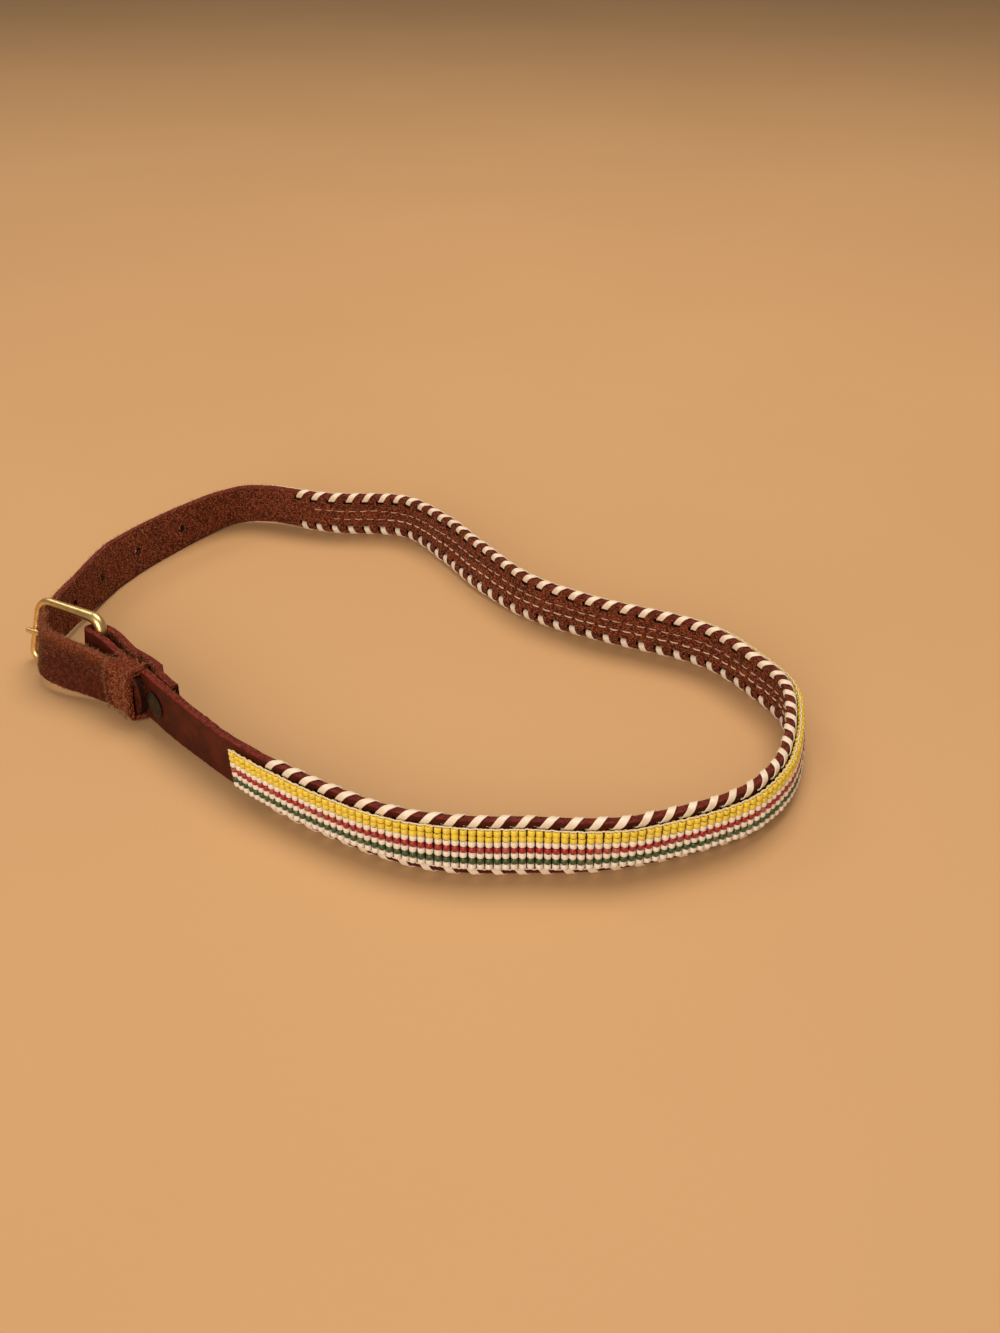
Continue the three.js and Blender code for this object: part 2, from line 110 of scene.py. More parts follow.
# %% Sizes
strap_width = 19.0
strap_thickness = 2.8
half = strap_thickness / 2
clearance = 0.3
loop_length = 272.0
loop_depth = 237.0
fold_length, fold_slack = 45.3, 2.0
hole_spacing = 25.4
heel_bar_diameter = 3.4
front_bar_diameter = 2.4
buckle_reach, front_slant = 34.0, 4.0
buckle_turn = math.radians(-4)
room_below, room_above, room_at_front = 0.6, 1.6, 2.8
buckle_lift = 0.14
prong_diameter, prong_overhang = 1.8, 1.2
keeper_from, keeper_width, keeper_wall = 16.5, 13.5, 1.6
keeper_end = keeper_from + keeper_width
rivet_from, rivet_cap, rivet_post, rivet_washer = 38.2, 9.4, 3.4, 8.0
lace_width, lace_thickness, lace_pitch, lace_wraps = 2.4, 0.8, 7.06, 69
lace_inset, lace_from = 2.9, 101.5
lace_end = lace_from + (lace_wraps - 1) * lace_pitch
band_below, band_past = 1.9, 15.0
fold_radius = heel_bar_diameter / 2 + clearance + half
turn_length = math.pi * fold_radius
tucked = strap_thickness + clearance

route_rows = [
    (0.089, 0.422, -11), (0.115, 0.406, -5), (0.142, 0.383, 0), (0.170, 0.354, 0),
    (0.219, 0.289, 0), (0.302, 0.194, 4), (0.377, 0.118, 0), (0.483, 0.040, 0),
    (0.563, 0.005, -5), (0.658, 0.001, -5), (0.761, 0.012, 5), (0.865, 0.053, 4),
    (0.925, 0.096, -2), (0.968, 0.172, -6), (0.992, 0.303, -8), (0.968, 0.387, -9),
    (0.900, 0.492, -10), (0.762, 0.570, -10), (0.671, 0.635, -3), (0.594, 0.735, 10),
    (0.540, 0.837, 9), (0.474, 0.937, -4), (0.351, 0.956, -9), (0.250, 0.998, -14),
    (0.181, 0.985, -14), (0.113, 0.889, -1), (0.051, 0.756, 8), (0.020, 0.614, -4),
]


# %% The route as a curve
def smooth(value, low, high):
    share = np.clip((value - low) / (high - low), 0, 1)
    return share * share * (3 - 2 * share)


def eased(pairs, place):
    """Reads a value from pairs of place and value, easing from each to the next."""
    value = pairs[0][1]
    for (low, _), (high, wanted) in zip(pairs, pairs[1:]):
        value = value + (wanted - value) * smooth(place, low, high)
    return value


class Route:
    """A smooth curve through rows of x, y and lean, read at distances along it."""

    def __init__(self, rows, steps=24):
        rows = np.array(rows, float)
        count = len(rows) - 1
        share = np.arange(count * steps + 1) / steps
        span = np.minimum(share.astype(int), count - 1)
        t = (share - span)[:, None]
        before, here = rows[np.maximum(span - 1, 0), :2], rows[span, :2]
        there, after = rows[span + 1, :2], rows[np.minimum(span + 2, count), :2]
        leave, arrive = (there - before) / 2, (after - here) / 2
        self.points = (
            (2 * here - 2 * there + leave + arrive) * t**3
            + (3 * there - 3 * here - 2 * leave - arrive) * t**2
            + leave * t + here
        )
        gaps = np.linalg.norm(np.diff(self.points, axis=0), axis=1)
        self.reached = np.concatenate([[0], np.cumsum(gaps)])
        self.length = self.reached[-1]
        heading = np.gradient(self.points, self.reached, axis=0)
        self.heading = heading / np.linalg.norm(heading, axis=1)[:, None]
        self.lean = rows[span, 2] + (rows[span + 1, 2] - rows[span, 2]) * t[:, 0]

    def at(self, distance):
        read = lambda values: np.interp(distance, self.reached, values)
        point = np.stack([read(self.points[:, 0]), read(self.points[:, 1])], -1)
        heading = np.stack([read(self.heading[:, 0]), read(self.heading[:, 1])], -1)
        heading /= np.linalg.norm(heading, axis=-1, keepdims=True)
        return point, heading, np.radians(read(self.lean))


table_rows = [(across * loop_length, back * loop_depth, lean) for across, back, lean in route_rows]
first_stretch = Route(table_rows)


def beside(distance, offset):
    point, heading, _ = first_stretch.at(distance)
    return point + offset * np.array([-heading[1], heading[0]])


def turned(vector, angle):
    c, s = math.cos(angle), math.sin(angle)
    return np.array([c * vector[0] - s * vector[1], s * vector[0] + c * vector[1]])


# %% [markdown]
# The first rows place the buckle. Its heel bar stands in the fold, the front bar lies in line with it, and
# the punched end crosses just inside the front bar, bends round it on a cubic curve and goes into the keeper.

# %% The punched end
heel_spot = beside(0.0, fold_radius)
buckle_heading = turned(-first_stretch.at(0.0)[1], buckle_turn)
front_spot = heel_spot + buckle_reach * buckle_heading
crossing = front_spot - (front_bar_diameter / 2 + room_at_front + half) * buckle_heading
wedge = 1.4
end_offsets = [(keeper_from, tucked + wedge), (keeper_end, tucked)]
tip_from = rivet_from - rivet_cap / 2 - 2 * clearance
into_keeper = beside(keeper_from, -eased(end_offsets, keeper_from))
bend_span = np.linalg.norm(crossing - into_keeper)
arriving = crossing - np.array(table_rows[-1][:2])
arriving /= np.linalg.norm(arriving)
leaving = first_stretch.at(keeper_from)[1]
after_crossing = crossing + 0.5 * bend_span * arriving
before_keeper = into_keeper - 0.35 * bend_span * leaving
handles = [crossing, after_crossing, before_keeper, into_keeper]
bend_leans = (-8, -12, -11, -5, 0)
bend_rows = []
for share, lean in zip((0, 0.25, 0.5, 0.75, 1), bend_leans):
    weights = [(1 - share) ** 3, 3 * share * (1 - share) ** 2, 3 * share**2 * (1 - share), share**3]
    spot = sum(weight * handle for weight, handle in zip(weights, handles))
    bend_rows.append((*spot, lean))
tucked_rows = []
for distance in ((keeper_from + keeper_end) / 2, keeper_end, tip_from):
    tucked_rows.append((*beside(distance, -eased(end_offsets, distance)), 0))
route = Route(table_rows + bend_rows + tucked_rows)

prong_rest = (front_bar_diameter + prong_diameter) / 2 + clearance
prong_tilt = math.atan2(prong_rest, buckle_reach)
prong_length = buckle_reach + front_bar_diameter / 2 + prong_overhang
prong_heading = turned(buckle_heading, prong_tilt)
tucked_length = tip_from - keeper_from
tuck_start = route.length - tucked_length
candidates = np.arange(tuck_start - 2 * bend_span, tuck_start, 0.05)
spots, headings, leans = route.at(candidates)
lean_shift = strap_width / 2 * np.sin(leans)[:, None] * np.stack([headings[:, 1], -headings[:, 0]], -1)
_, heel_heading, heel_lean = first_stretch.at(0.0)
heel_shift = strap_width / 2 * math.sin(heel_lean) * np.array([heel_heading[1], -heel_heading[0]])
side_of_prong = np.cross(spots + lean_shift - heel_spot - heel_shift, prong_heading)
prong_hole = candidates[np.argmin(np.abs(side_of_prong))]
print("route:", round(route.length, 1), "mm, prong hole at", round(prong_hole, 1), "mm")

# %% [markdown]
# The strap doesn't lie on the table: it stands on the buckle, the keeper and the lace under it, so its lower
# edge rises and falls by a few millimetres. The leaned strap also needs a little room under its thickness.

# %% From the bench to the belt
lace_rise = clearance + lace_thickness
keeper_rise = clearance + keeper_wall
buckle_rise = room_below + heel_bar_diameter + buckle_lift
rises = [
    (0, buckle_rise), (keeper_from, keeper_rise), (keeper_end, keeper_rise),
    (lace_from - lace_pitch, lace_rise), (lace_end + lace_pitch, lace_rise), (lace_end + 60, 0),
    (prong_hole - 70, 0), (prong_hole, buckle_rise), (tuck_start, keeper_rise),
]
beside_keeper = 1.0
fold_offsets = [
    (0, 2 * fold_radius), (keeper_from - beside_keeper, tucked + keeper_wall + clearance),
    (keeper_end + beside_keeper, tucked + keeper_wall + clearance),
    (rivet_from - rivet_washer / 2, tucked), (fold_length, tucked),
]


def axes_at(along):
    """The strap's lower mid point at each distance, with its directions along, inward and up."""
    point, heading, lean = route.at(along)
    flat_in = np.stack([-heading[..., 1], heading[..., 0]], -1)
    sin, cos = np.sin(lean), np.cos(lean)
    rise = eased(rises, along) + (half + lace_rise) * np.abs(sin)
    base = np.concatenate([point, rise[..., None]], -1)
    inward = np.concatenate([flat_in * cos[..., None], sin[..., None]], -1)
    up = np.concatenate([-flat_in * sin[..., None], cos[..., None]], -1)
    ahead = np.concatenate([heading, 0 * sin[..., None]], -1)
    return base, ahead, inward, up


def plain(along, inward, height):
    base, _, inward_axis, up = axes_at(along)
    return base + inward[:, None] * inward_axis + height[:, None] * up


def on_belt(flat):
    """Bends flat places (along, inward, height) to the belt. Below 0 they go round the heel bar's fold."""
    along, inward, height = np.asarray(flat, float).T
    turn = np.clip(-along / fold_radius, 0, math.pi)
    layer = np.maximum(-along - turn_length, 0)
    reach = fold_radius - inward
    folded = along < 0
    round_bar = fold_radius - reach * np.cos(turn)
    bar_side = np.where(turn < math.pi, round_bar, eased(fold_offsets, layer) - inward)
    place = plain(np.where(folded, layer, along), np.where(folded, bar_side, inward), height)
    ahead = axes_at(np.zeros(1))[1]
    return place - (folded * (reach + fold_slack) * np.sin(turn))[:, None] * ahead


measure = np.arange(-turn_length, route.length, 1.0)
section = [(side, height) for side in (-half, half) for height in (0, strap_width)]
own = on_belt([(along, *corner) for along in measure for corner in section])
low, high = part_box("strap")
shift = (np.array(low + high) / MM - own.min(0) - own.max(0)) / 2
shift[2] = 0
print("shift from the route's own place:", shift.round(2), "mm")


def placed(flat):
    return (on_belt(flat) + shift) * MM


# %% [markdown]
# ## Tools of the bench
# A piece starts as a bmesh on the flat bench. When it is finished, its flat coordinates are kept in an
# attribute called bench, so that grain, holes and stripes can follow the strap round, and its points are laid
# on the belt. A small shape that is repeated, such as a bead, is modelled once and copied to many spots.

# %% Finish a piece
def make_piece(name, points, faces, bench, material, replaces=(), extra=None, sharp=50):
    mesh = bpy.data.meshes.new(name)
    mesh.from_pydata(points.tolist(), [], faces)
    kept_place = mesh.attributes.new("bench", "FLOAT_VECTOR", "POINT")
    kept_place.data.foreach_set("vector", bench.astype(np.float32).ravel())
    for key, values in (extra or {}).items():
        number = mesh.attributes.new(key, "FLOAT", "POINT")
        number.data.foreach_set("value", values.astype(np.float32))
    mesh.shade_smooth()
    mesh.set_sharp_from_angle(angle=math.radians(sharp))
    mesh.materials.append(material)
    piece = bpy.data.objects.new(name, mesh)
    bpy.context.scene.collection.objects.link(piece)
    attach(piece, "root")
    if replaces:
        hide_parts(*replaces)
    triangles = sum(len(face) - 2 for face in faces)
    print(f"{name}: {len(points)} points, {triangles} triangles")
    return piece


def taken(bm):
    """The points and faces of a bmesh, which is then freed."""
    bm.verts.index_update()
    points = np.array([vert.co[:] for vert in bm.verts])
    faces = [[vert.index for vert in face.verts] for face in bm.faces]
    bm.free()
    return points, faces


def repeated(points, faces, spots):
    """Copies a shape to each spot, a 4 by 4 matrix, and gives a number from 0 to 1 to each copy."""
    all_points = np.concatenate([points @ spot[:3, :3].T + spot[:3, 3] for spot in spots])
    all_faces = []
    for copy in range(len(spots)):
        all_faces += [[index + copy * len(points) for index in face] for face in faces]
    shade = np.repeat([random.random() for _ in spots], len(points))
    return all_points, all_faces, shade


def spot_at(along, inward, height, turn=(0, 0, 0), size=(1, 1, 1)):
    about_x, about_y, about_z = [Matrix.Rotation(angle, 4, axis) for angle, axis in zip(turn, "XYZ")]
    turning = about_z @ about_y @ about_x
    return np.array(Matrix.Translation((along, inward, height)) @ turning @ Matrix.Diagonal((*size, 1)))


def bar(length, width, height, rounding, rounds, lengthwise, across=0):
    """A bar along X with rounded long edges, cut into many short lengths so that it can bend."""
    bm = bmesh.new()
    bmesh.ops.create_cube(bm, size=1)
    bmesh.ops.scale(bm, vec=(length, width, height), verts=bm.verts)
    long_edges = [edge for edge in bm.edges if abs(edge.verts[0].co.x - edge.verts[1].co.x) > length / 2]
    bmesh.ops.bevel(
        bm, geom=long_edges, offset=rounding, segments=rounds, profile=0.5, affect="EDGES", material=-1,
    )
    if across:
        tall = [edge for edge in bm.edges if abs(edge.verts[0].co.z - edge.verts[1].co.z) > height / 2]
        bmesh.ops.subdivide_edges(bm, edges=tall, cuts=across, use_grid_fill=True)
    long_edges = [edge for edge in bm.edges if abs(edge.verts[0].co.x - edge.verts[1].co.x) > length / 2]
    bmesh.ops.subdivide_edges(bm, edges=long_edges, cuts=lengthwise, use_grid_fill=True)
    return bm


# %% [markdown]
# ## Shader tools
# A finish is a small program of nodes. One class wraps a socket, so that sums can be written as they are on
# paper, and another makes a material and adds its nodes.

# %% Write shaders as sums
class Wire:
    """A socket that can be added, subtracted and multiplied like a number."""

    def __init__(self, finish, socket):
        self.finish, self.socket = finish, socket

    def _math(self, operation, first, second):
        return self.finish.node("Math", {"operation": operation}, {0: first, 1: second})

    def __add__(self, other):
        return self._math("ADD", self, other)

    def __sub__(self, other):
        return self._math("SUBTRACT", self, other)

    def __rsub__(self, other):
        return self._math("SUBTRACT", other, self)

    def __mul__(self, other):
        return self._math("MULTIPLY", self, other)

    __radd__, __rmul__ = __add__, __mul__


class Finish:
    """A material that is built up node by node."""

    def __init__(self, name, **constants):
        self.material = bpy.data.materials.new(name)
        self.material.use_nodes = True
        self.tree = self.material.node_tree
        self.shader = self.tree.nodes["Principled BSDF"]
        for key, value in constants.items():
            self.shader.inputs[key.replace("_", " ")].default_value = value

    def node(self, kind, settings=None, inputs=None, output=0):
        node = self.tree.nodes.new("ShaderNode" + kind)
        for key, value in (settings or {}).items():
            if key == "steps":
                node.color_ramp.interpolation = value
            elif key == "stops":
                while len(node.color_ramp.elements) < len(value):
                    node.color_ramp.elements.new(1)
                for stop, (place, color) in zip(node.color_ramp.elements, value):
                    stop.position, stop.color = place, (*color, 1)
            else:
                setattr(node, key, value)
        for key, value in (inputs or {}).items():
            self.feed(node.inputs[key], value)
        return Wire(self, node.outputs[output])

    def feed(self, socket, value):
        if isinstance(value, Wire):
            self.tree.links.new(value.socket, socket)
        else:
            socket.default_value = value

    def bench(self):
        return self.node("Attribute", {"attribute_name": "bench"}, output=1)

    def own(self, name):
        return self.node("Attribute", {"attribute_name": name}, output=2)

    def split(self, vector):
        node = self.tree.nodes.new("ShaderNodeSeparateXYZ")
        self.feed(node.inputs[0], vector)
        return [Wire(self, socket) for socket in node.outputs]

    def stretched(self, vector, factors):
        return self.node("VectorMath", {"operation": "MULTIPLY"}, {0: vector, 1: factors})

    def grain(self, vector, size, detail=3, rough=0.5, factors=(1, 1, 1)):
        """Noise with features of about this size, in the units of the vector."""
        scaled = self.stretched(vector, tuple(factor / size for factor in factors))
        wanted = {"Vector": scaled, "Scale": 1.0, "Detail": detail, "Roughness": rough}
        return self.node("TexNoise", inputs=wanted)

    def between(self, value, low, high):
        """0 below low, 1 above high, and smooth between them."""
        wanted = {"Value": value, "From Min": low, "From Max": high}
        return self.node("MapRange", {"interpolation_type": "SMOOTHSTEP"}, wanted)

    def larger(self, first, second):
        return self.node("Math", {"operation": "MAXIMUM"}, {0: first, 1: second})

    def blend(self, share, first, second):
        """The first colour where the share is 0, the second where it is 1."""
        return self.node("Mix", {"data_type": "RGBA"}, {0: share, 6: first, 7: second}, output=2)

    def done(self, color=None, roughness=None, bump=None, depth=0.1):
        """Feeds the shader. The depth of the bump is in millimetres."""
        for key, value in (("Base Color", color), ("Roughness", roughness)):
            if value is not None:
                self.feed(self.shader.inputs[key], value)
        if bump is not None:
            normal = self.node("Bump", inputs={"Strength": 1.0, "Distance": depth * MM, "Height": bump})
            self.feed(self.shader.inputs["Normal"], normal)
        return self.material


# %% [markdown]
# ## Leather
# The strap is split cowhide. Its outer, grain side is smooth and dark red-brown with fine creases, which are
# darkened with painted shade. Its inner, flesh side is suede: a mat of short fibres, with a painted highlight
# on the fibre tips and painted shade in the hollows. The cut edges are raw and redder than both. Near the
# buckle the grain side is worn to a rough nap, most of all along its top. There, and on the worn cut edges, the
# fibre tips are painted lighter, partly as wear and partly as painted light. One finish holds them all, and the
# bench coordinates say where a point is. Inside a slit or a hole it is painted nearly black, as painted shade.

# %% Leather finish
def leather_finish(name, suede_outside=0.0):
    finish = Finish(name, Specular_IOR_Level=0.16)
    bench = finish.bench()
    along, inward, height = finish.split(bench)
    worn = finish.between(along, prong_hole - 34, prong_hole - 6) * 0.85
    flesh = finish.between(inward, -0.6, 0.9)
    if suede_outside:
        flesh = finish.larger(flesh, suede_outside)
    edge_low = 1 - finish.between(height, 0.1, 0.8)
    edge_high = finish.between(height, strap_width - 0.8, strap_width - 0.1)
    edge = finish.larger(edge_low, edge_high)

    fibres = finish.grain(bench, 0.95, 2, 0.6, (1.1, 1, 0.8))
    clumps = finish.grain(bench, 4, 2, 0.5)
    tips = finish.grain(bench, 0.68, 2, 0.6, (0.7, 1, 1.2))
    hollows = finish.grain(bench, 0.85, 2, 0.6)
    patches = finish.grain(bench, 9, 4, 0.6)
    creases = finish.grain(bench, 0.7, 3, 0.6, (1, 1, 0.12))
    pores = finish.grain(bench, 0.35, 2, 0.6)

    grain_dark, grain_light = (0.05, 0.0068, 0.0032, 1), (0.1, 0.0135, 0.0066, 1)
    grain_color = finish.blend(finish.between(patches, 0.35, 0.7), grain_dark, grain_light)
    # Painted shade: the creases are darkened in colour as well as bumped.
    grain_color = finish.blend(finish.between(creases, 0.5, 0.75) * 0.5, grain_color, (0.03, 0.005, 0.003, 1))
    nap = finish.grain(bench, 1.7, 3, 0.65)
    worn_dark, worn_light = (0.046, 0.0075, 0.003, 1), (0.115, 0.021, 0.0085, 1)
    worn_color = finish.blend(finish.between(nap, 0.42, 0.6), worn_dark, worn_light)
    # Worn fibre tips along the top are painted lighter: partly the worn nap, partly painted light falling on
    # the top.
    worn_nap_and_top_light = finish.between(height, 13.5, 18.5) * finish.between(tips, 0.42, 0.58)
    worn_color = finish.blend(worn_nap_and_top_light * 0.8, worn_color, (0.34, 0.092, 0.03, 1))
    grain_color = finish.blend(worn, grain_color, worn_color)

    # The third colour, bright, is a painted highlight for the suede's fibre tips.
    dark, light, bright = (0.075, 0.0135, 0.0058, 1), (0.21, 0.047, 0.02, 1), (0.56, 0.21, 0.1, 1)
    if suede_outside:
        dark, light, bright = (0.085, 0.0135, 0.005, 1), (0.235, 0.048, 0.0165, 1), (0.6, 0.21, 0.085, 1)
    suede_color = finish.blend(finish.between(0.8 * fibres + 0.2 * clumps, 0.44, 0.56), dark, light)
    # Painted highlight: the suede's raised fibre tips are made lighter.
    suede_color = finish.blend(finish.between(tips, 0.52, 0.65) * 0.8, suede_color, bright)
    # Painted shade: the hollows between the suede's fibres are made nearly black.
    painted_hollow_shade = finish.between(hollows, 0.55, 0.66) * 0.8
    suede_color = finish.blend(painted_hollow_shade, suede_color, (0.028, 0.007, 0.0035, 1))

    raw = finish.grain(bench, 0.8, 4, 0.75, (0.5, 1, 1))
    edge_dark, edge_light = (0.095, 0.0115, 0.0075, 1), (0.25, 0.037, 0.024, 1)
    edge_color = finish.blend(finish.between(raw, 0.36, 0.66), edge_dark, edge_light)
    # Worn fibre tips on the cut edges are painted lighter: partly the worn fuzz, partly a painted highlight.
    edge_color = finish.blend(worn * 0.8 * finish.between(tips, 0.4, 0.6), edge_color, (0.33, 0.12, 0.05, 1))

    color = finish.blend(flesh, grain_color, suede_color)
    color = finish.blend(edge * (1 - 0.5 * flesh), color, edge_color)
    # Painted shade: the walls inside slits and holes, within the strap's thickness, are painted nearly black.
    if not suede_outside:
        in_faces = finish.between(inward, -1.25, -1.1) * (1 - finish.between(inward, 1.1, 1.25))
        top_margin = finish.between(height, strap_width - 1.3, strap_width - 1.0)
        inside = in_faces * finish.between(height, 1.0, 1.3) * (1 - top_margin)
        color = finish.blend(inside * 0.9, color, (0.012, 0.003, 0.002, 1))
    rough = 0.55 + 0.35 * flesh + 0.1 * edge + 0.2 * (patches - 0.5)
    smooth_side = (1 - flesh) * (1 - worn) * (0.4 * creases + 0.15 * pores)
    nap_side = flesh * (0.9 * tips + 0.9 * fibres - 0.9 * hollows) + (1 - flesh) * worn * 1.3 * nap
    return finish.done(color, rough, smooth_side + nap_side + edge * 0.9 * raw, depth=0.7)


strap_leather = leather_finish("strap_leather")

# %% [markdown]
# ## The strap
# The strap is one long bar. Its long edges are rounded a little, its end is cut to a half circle, and the
# slits and holes are cut with a boolean while it still lies flat, where a straight cutter is enough. Bending
# comes last. The raw edge and the flesh side are roughened by moving points with noise.

# %% Cut the strap
cutter_depth = 9


def box_cutters(spots, size):
    bm = bmesh.new()
    bmesh.ops.create_cube(bm, size=1)
    bmesh.ops.scale(bm, vec=size, verts=bm.verts)
    points, faces = taken(bm)
    return repeated(points, faces, [spot_at(*spot) for spot in spots])[:2]


def round_cutters(spots, diameter, stretch=1.0, sides=20):
    bm = bmesh.new()
    radius = diameter / 2
    bmesh.ops.create_cone(
        bm, cap_ends=True, segments=sides, radius1=radius, radius2=radius, depth=cutter_depth,
    )
    bmesh.ops.rotate(bm, verts=bm.verts, matrix=Matrix.Rotation(math.pi / 2, 3, "X"))
    bmesh.ops.scale(bm, vec=(stretch, 1, 1), verts=bm.verts)
    points, faces = taken(bm)
    return repeated(points, faces, [spot_at(*spot) for spot in spots])[:2]


slit_places = [lace_from + wrap * lace_pitch for wrap in range(lace_wraps)]
slit_heights = (lace_inset, strap_width - lace_inset)
slit_spots = [(along, 0, height) for along in slit_places for height in slit_heights]
middle_height = strap_width / 2
hole_spots = [(prong_hole - count * hole_spacing, 0, middle_height) for count in range(1, 5)]
rivet_spots = [(rivet_from, 0, middle_height), (-turn_length - rivet_from, 0, middle_height)]
hole_diameter, prong_hole_stretch, prong_slot_height = 3.4, 1.6, 4.2
cutters = [
    box_cutters(slit_spots, (lace_width + 1.1, cutter_depth, lace_thickness + 1.3)),
    round_cutters(hole_spots, hole_diameter),
    round_cutters([(prong_hole, 0, middle_height)], hole_diameter, prong_hole_stretch),
    round_cutters(rivet_spots, rivet_post + 2 * clearance),
    box_cutters([(-turn_length / 2, 0, middle_height)], (turn_length + 16, cutter_depth, prong_slot_height)),
]

strap_from = -turn_length - fold_length
strap_length = route.length - strap_from
bm = bar(strap_length, strap_thickness, strap_width, 0.55, 3, 720, across=9)
bmesh.ops.translate(bm, vec=((strap_from + route.length) / 2, 0, middle_height), verts=bm.verts)
flat_strap = bpy.data.meshes.new("flat_strap")
bm.to_mesh(flat_strap)
bm.free()
strap_blank = bpy.data.objects.new("strap_blank", flat_strap)
bpy.context.scene.collection.objects.link(strap_blank)
cutter_mesh = bpy.data.meshes.new("cutters")
cutter_points, cutter_faces = [], []
for points, faces in cutters:
    cutter_faces += [[index + len(cutter_points) for index in face] for face in faces]
    cutter_points += points.tolist()
cutter_mesh.from_pydata(cutter_points, [], cutter_faces)
cutter = bpy.data.objects.new("cutter", cutter_mesh)
bpy.context.scene.collection.objects.link(cutter)
cut = strap_blank.modifiers.new("cut", "BOOLEAN")
cut.operation, cut.solver, cut.object = "DIFFERENCE", "EXACT", cutter
scene_state = bpy.context.evaluated_depsgraph_get()
cut_mesh = bpy.data.meshes.new_from_object(strap_blank.evaluated_get(scene_state))
bm = bmesh.new()
bm.from_mesh(cut_mesh)
for spare in (strap_blank, cutter):
    bpy.data.objects.remove(spare)
print("cut strap:", len(bm.verts), "points,", len(bm.faces), "faces")


# %% Round its tip, roughen it and bend it
def roughened(points, size, depth, where):
    """Moves points by noise where the mask is above 0, in the bench's own directions."""
    moved = points.copy()
    for index, point in enumerate(points):
        if where[index] > 0:
            spot = Vector(point) / size
            moved[index] += depth * where[index] * np.array(noise.noise_vector(spot))
    return moved


flat, strap_faces = taken(bm)
tip_radius = strap_width / 2
past_tip = np.clip((flat[:, 0] - (route.length - tip_radius)) / tip_radius, 0, 0.985)
flat[:, 2] = middle_height + (flat[:, 2] - middle_height) * np.sqrt(1 - past_tip**2)
on_edge = np.clip(np.abs(flat[:, 2] - middle_height) - (middle_height - 1.2), 0, 1)
punched_end = smooth(flat[:, 0], prong_hole - 40, prong_hole - 10)
laced = smooth(flat[:, 0], lace_from - 4, lace_from) * (1 - smooth(flat[:, 0], lace_end, lace_end + 4))
rough_edge = np.clip(0.5 + punched_end, 0, 1) * (1 - 0.75 * laced) * (on_edge > 0.5)
rough_flesh = 0.3 * (flat[:, 1] > 0.6) * (1 - 0.7 * laced)
bent = roughened(flat, 1.5, 0.3, rough_edge + rough_flesh)
make_piece("strap_leather", placed(bent), strap_faces, flat, strap_leather, ["strap"])

# %% [markdown]
# ## The lace
# Flat ivory lace is whipped over both edges. Each wrap comes out of a slit on the outer face, goes over the
# edge on a slant and dives into the next slit on the inner face, so that one wrap is the same shape 68 times.
# It is a short flat bar, bent round a path with rounded corners, and then copied along the edge.

# %% Wrap the edges
def rounded_path(corners, radius, steps=8):
    """A path through corners, each replaced by a short quadratic curve."""
    corners = [np.array(corner, float) for corner in corners]
    path = [corners[0]]
    for before, corner, after in zip(corners, corners[1:], corners[2:]):
        start = corner + radius * (before - corner) / np.linalg.norm(before - corner)
        end = corner + radius * (after - corner) / np.linalg.norm(after - corner)
        for share in np.linspace(0, 1, steps):
            path.append((1 - share) ** 2 * start + 2 * share * (1 - share) * corner + share**2 * end)
    return np.array(path + [corners[-1]])


def bent_bar(points, path, up_axis=(1, 0, 0)):
    """Bends a bar along a path. Its width lies across the path, near up_axis, its height out of it."""
    gaps = np.linalg.norm(np.diff(path, axis=0), axis=1)
    reached = np.concatenate([[0], np.cumsum(gaps)])
    tangents = np.gradient(path, reached, axis=0)
    length = points[:, 0].max() - points[:, 0].min()
    place = (points[:, 0] - points[:, 0].min()) / length * reached[-1]
    read = lambda values: np.stack([np.interp(place, reached, values[:, axis]) for axis in range(3)], -1)
    middle, tangent = read(path), read(tangents)
    tangent /= np.linalg.norm(tangent, axis=1)[:, None]
    out = np.cross(tangent, np.array(up_axis, float))
    out /= np.linalg.norm(out, axis=1)[:, None]
    across = np.cross(out, tangent)
    return middle + points[:, 1:2] * across + points[:, 2:3] * out


lace_side, lace_over, lace_rounding = half + 0.34, 0.36, 1.55
wrap_corners = [
    (0, -0.5, -lace_inset), (0, -lace_side, -lace_inset), (0, -lace_side, lace_over),
    (0, lace_side, lace_over), (0, lace_side, -lace_inset), (0, 0.5, -lace_inset),
]
wrap_path = rounded_path(wrap_corners, lace_rounding)
gaps = np.linalg.norm(np.diff(wrap_path, axis=0), axis=1)
walked = np.concatenate([[0], np.cumsum(gaps)])
turn_share = smooth(walked, 0, walked[-1] - 1.2)
wrap_path[:, 0] = lace_pitch * (0.45 * walked / walked[-1] + 0.55 * turn_share)
bm = bar(10, lace_width - 0.15, 0.5, 0.16, 2, 30)
strip, strip_faces = taken(bm)
strip[:, 2] *= 1 - 0.3 * (2 * strip[:, 1] / lace_width) ** 2
wrap = bent_bar(strip, wrap_path)
lace_finish = Finish("lace", Specular_IOR_Level=0.5)
place = lace_finish.bench()
cloud = lace_finish.grain(place, 3.0, 3, 0.6)
ivory_dark, ivory_light = (0.84, 0.7, 0.56, 1), (0.93, 0.83, 0.71, 1)
lace_color = lace_finish.blend(lace_finish.between(cloud, 0.3, 0.75), ivory_dark, ivory_light)
streak = lace_finish.grain(place, 0.5, 2, 0.5, (1, 1, 0.2))
lace_material = lace_finish.done(lace_color, 0.34 + 0.14 * cloud, streak, depth=0.05)
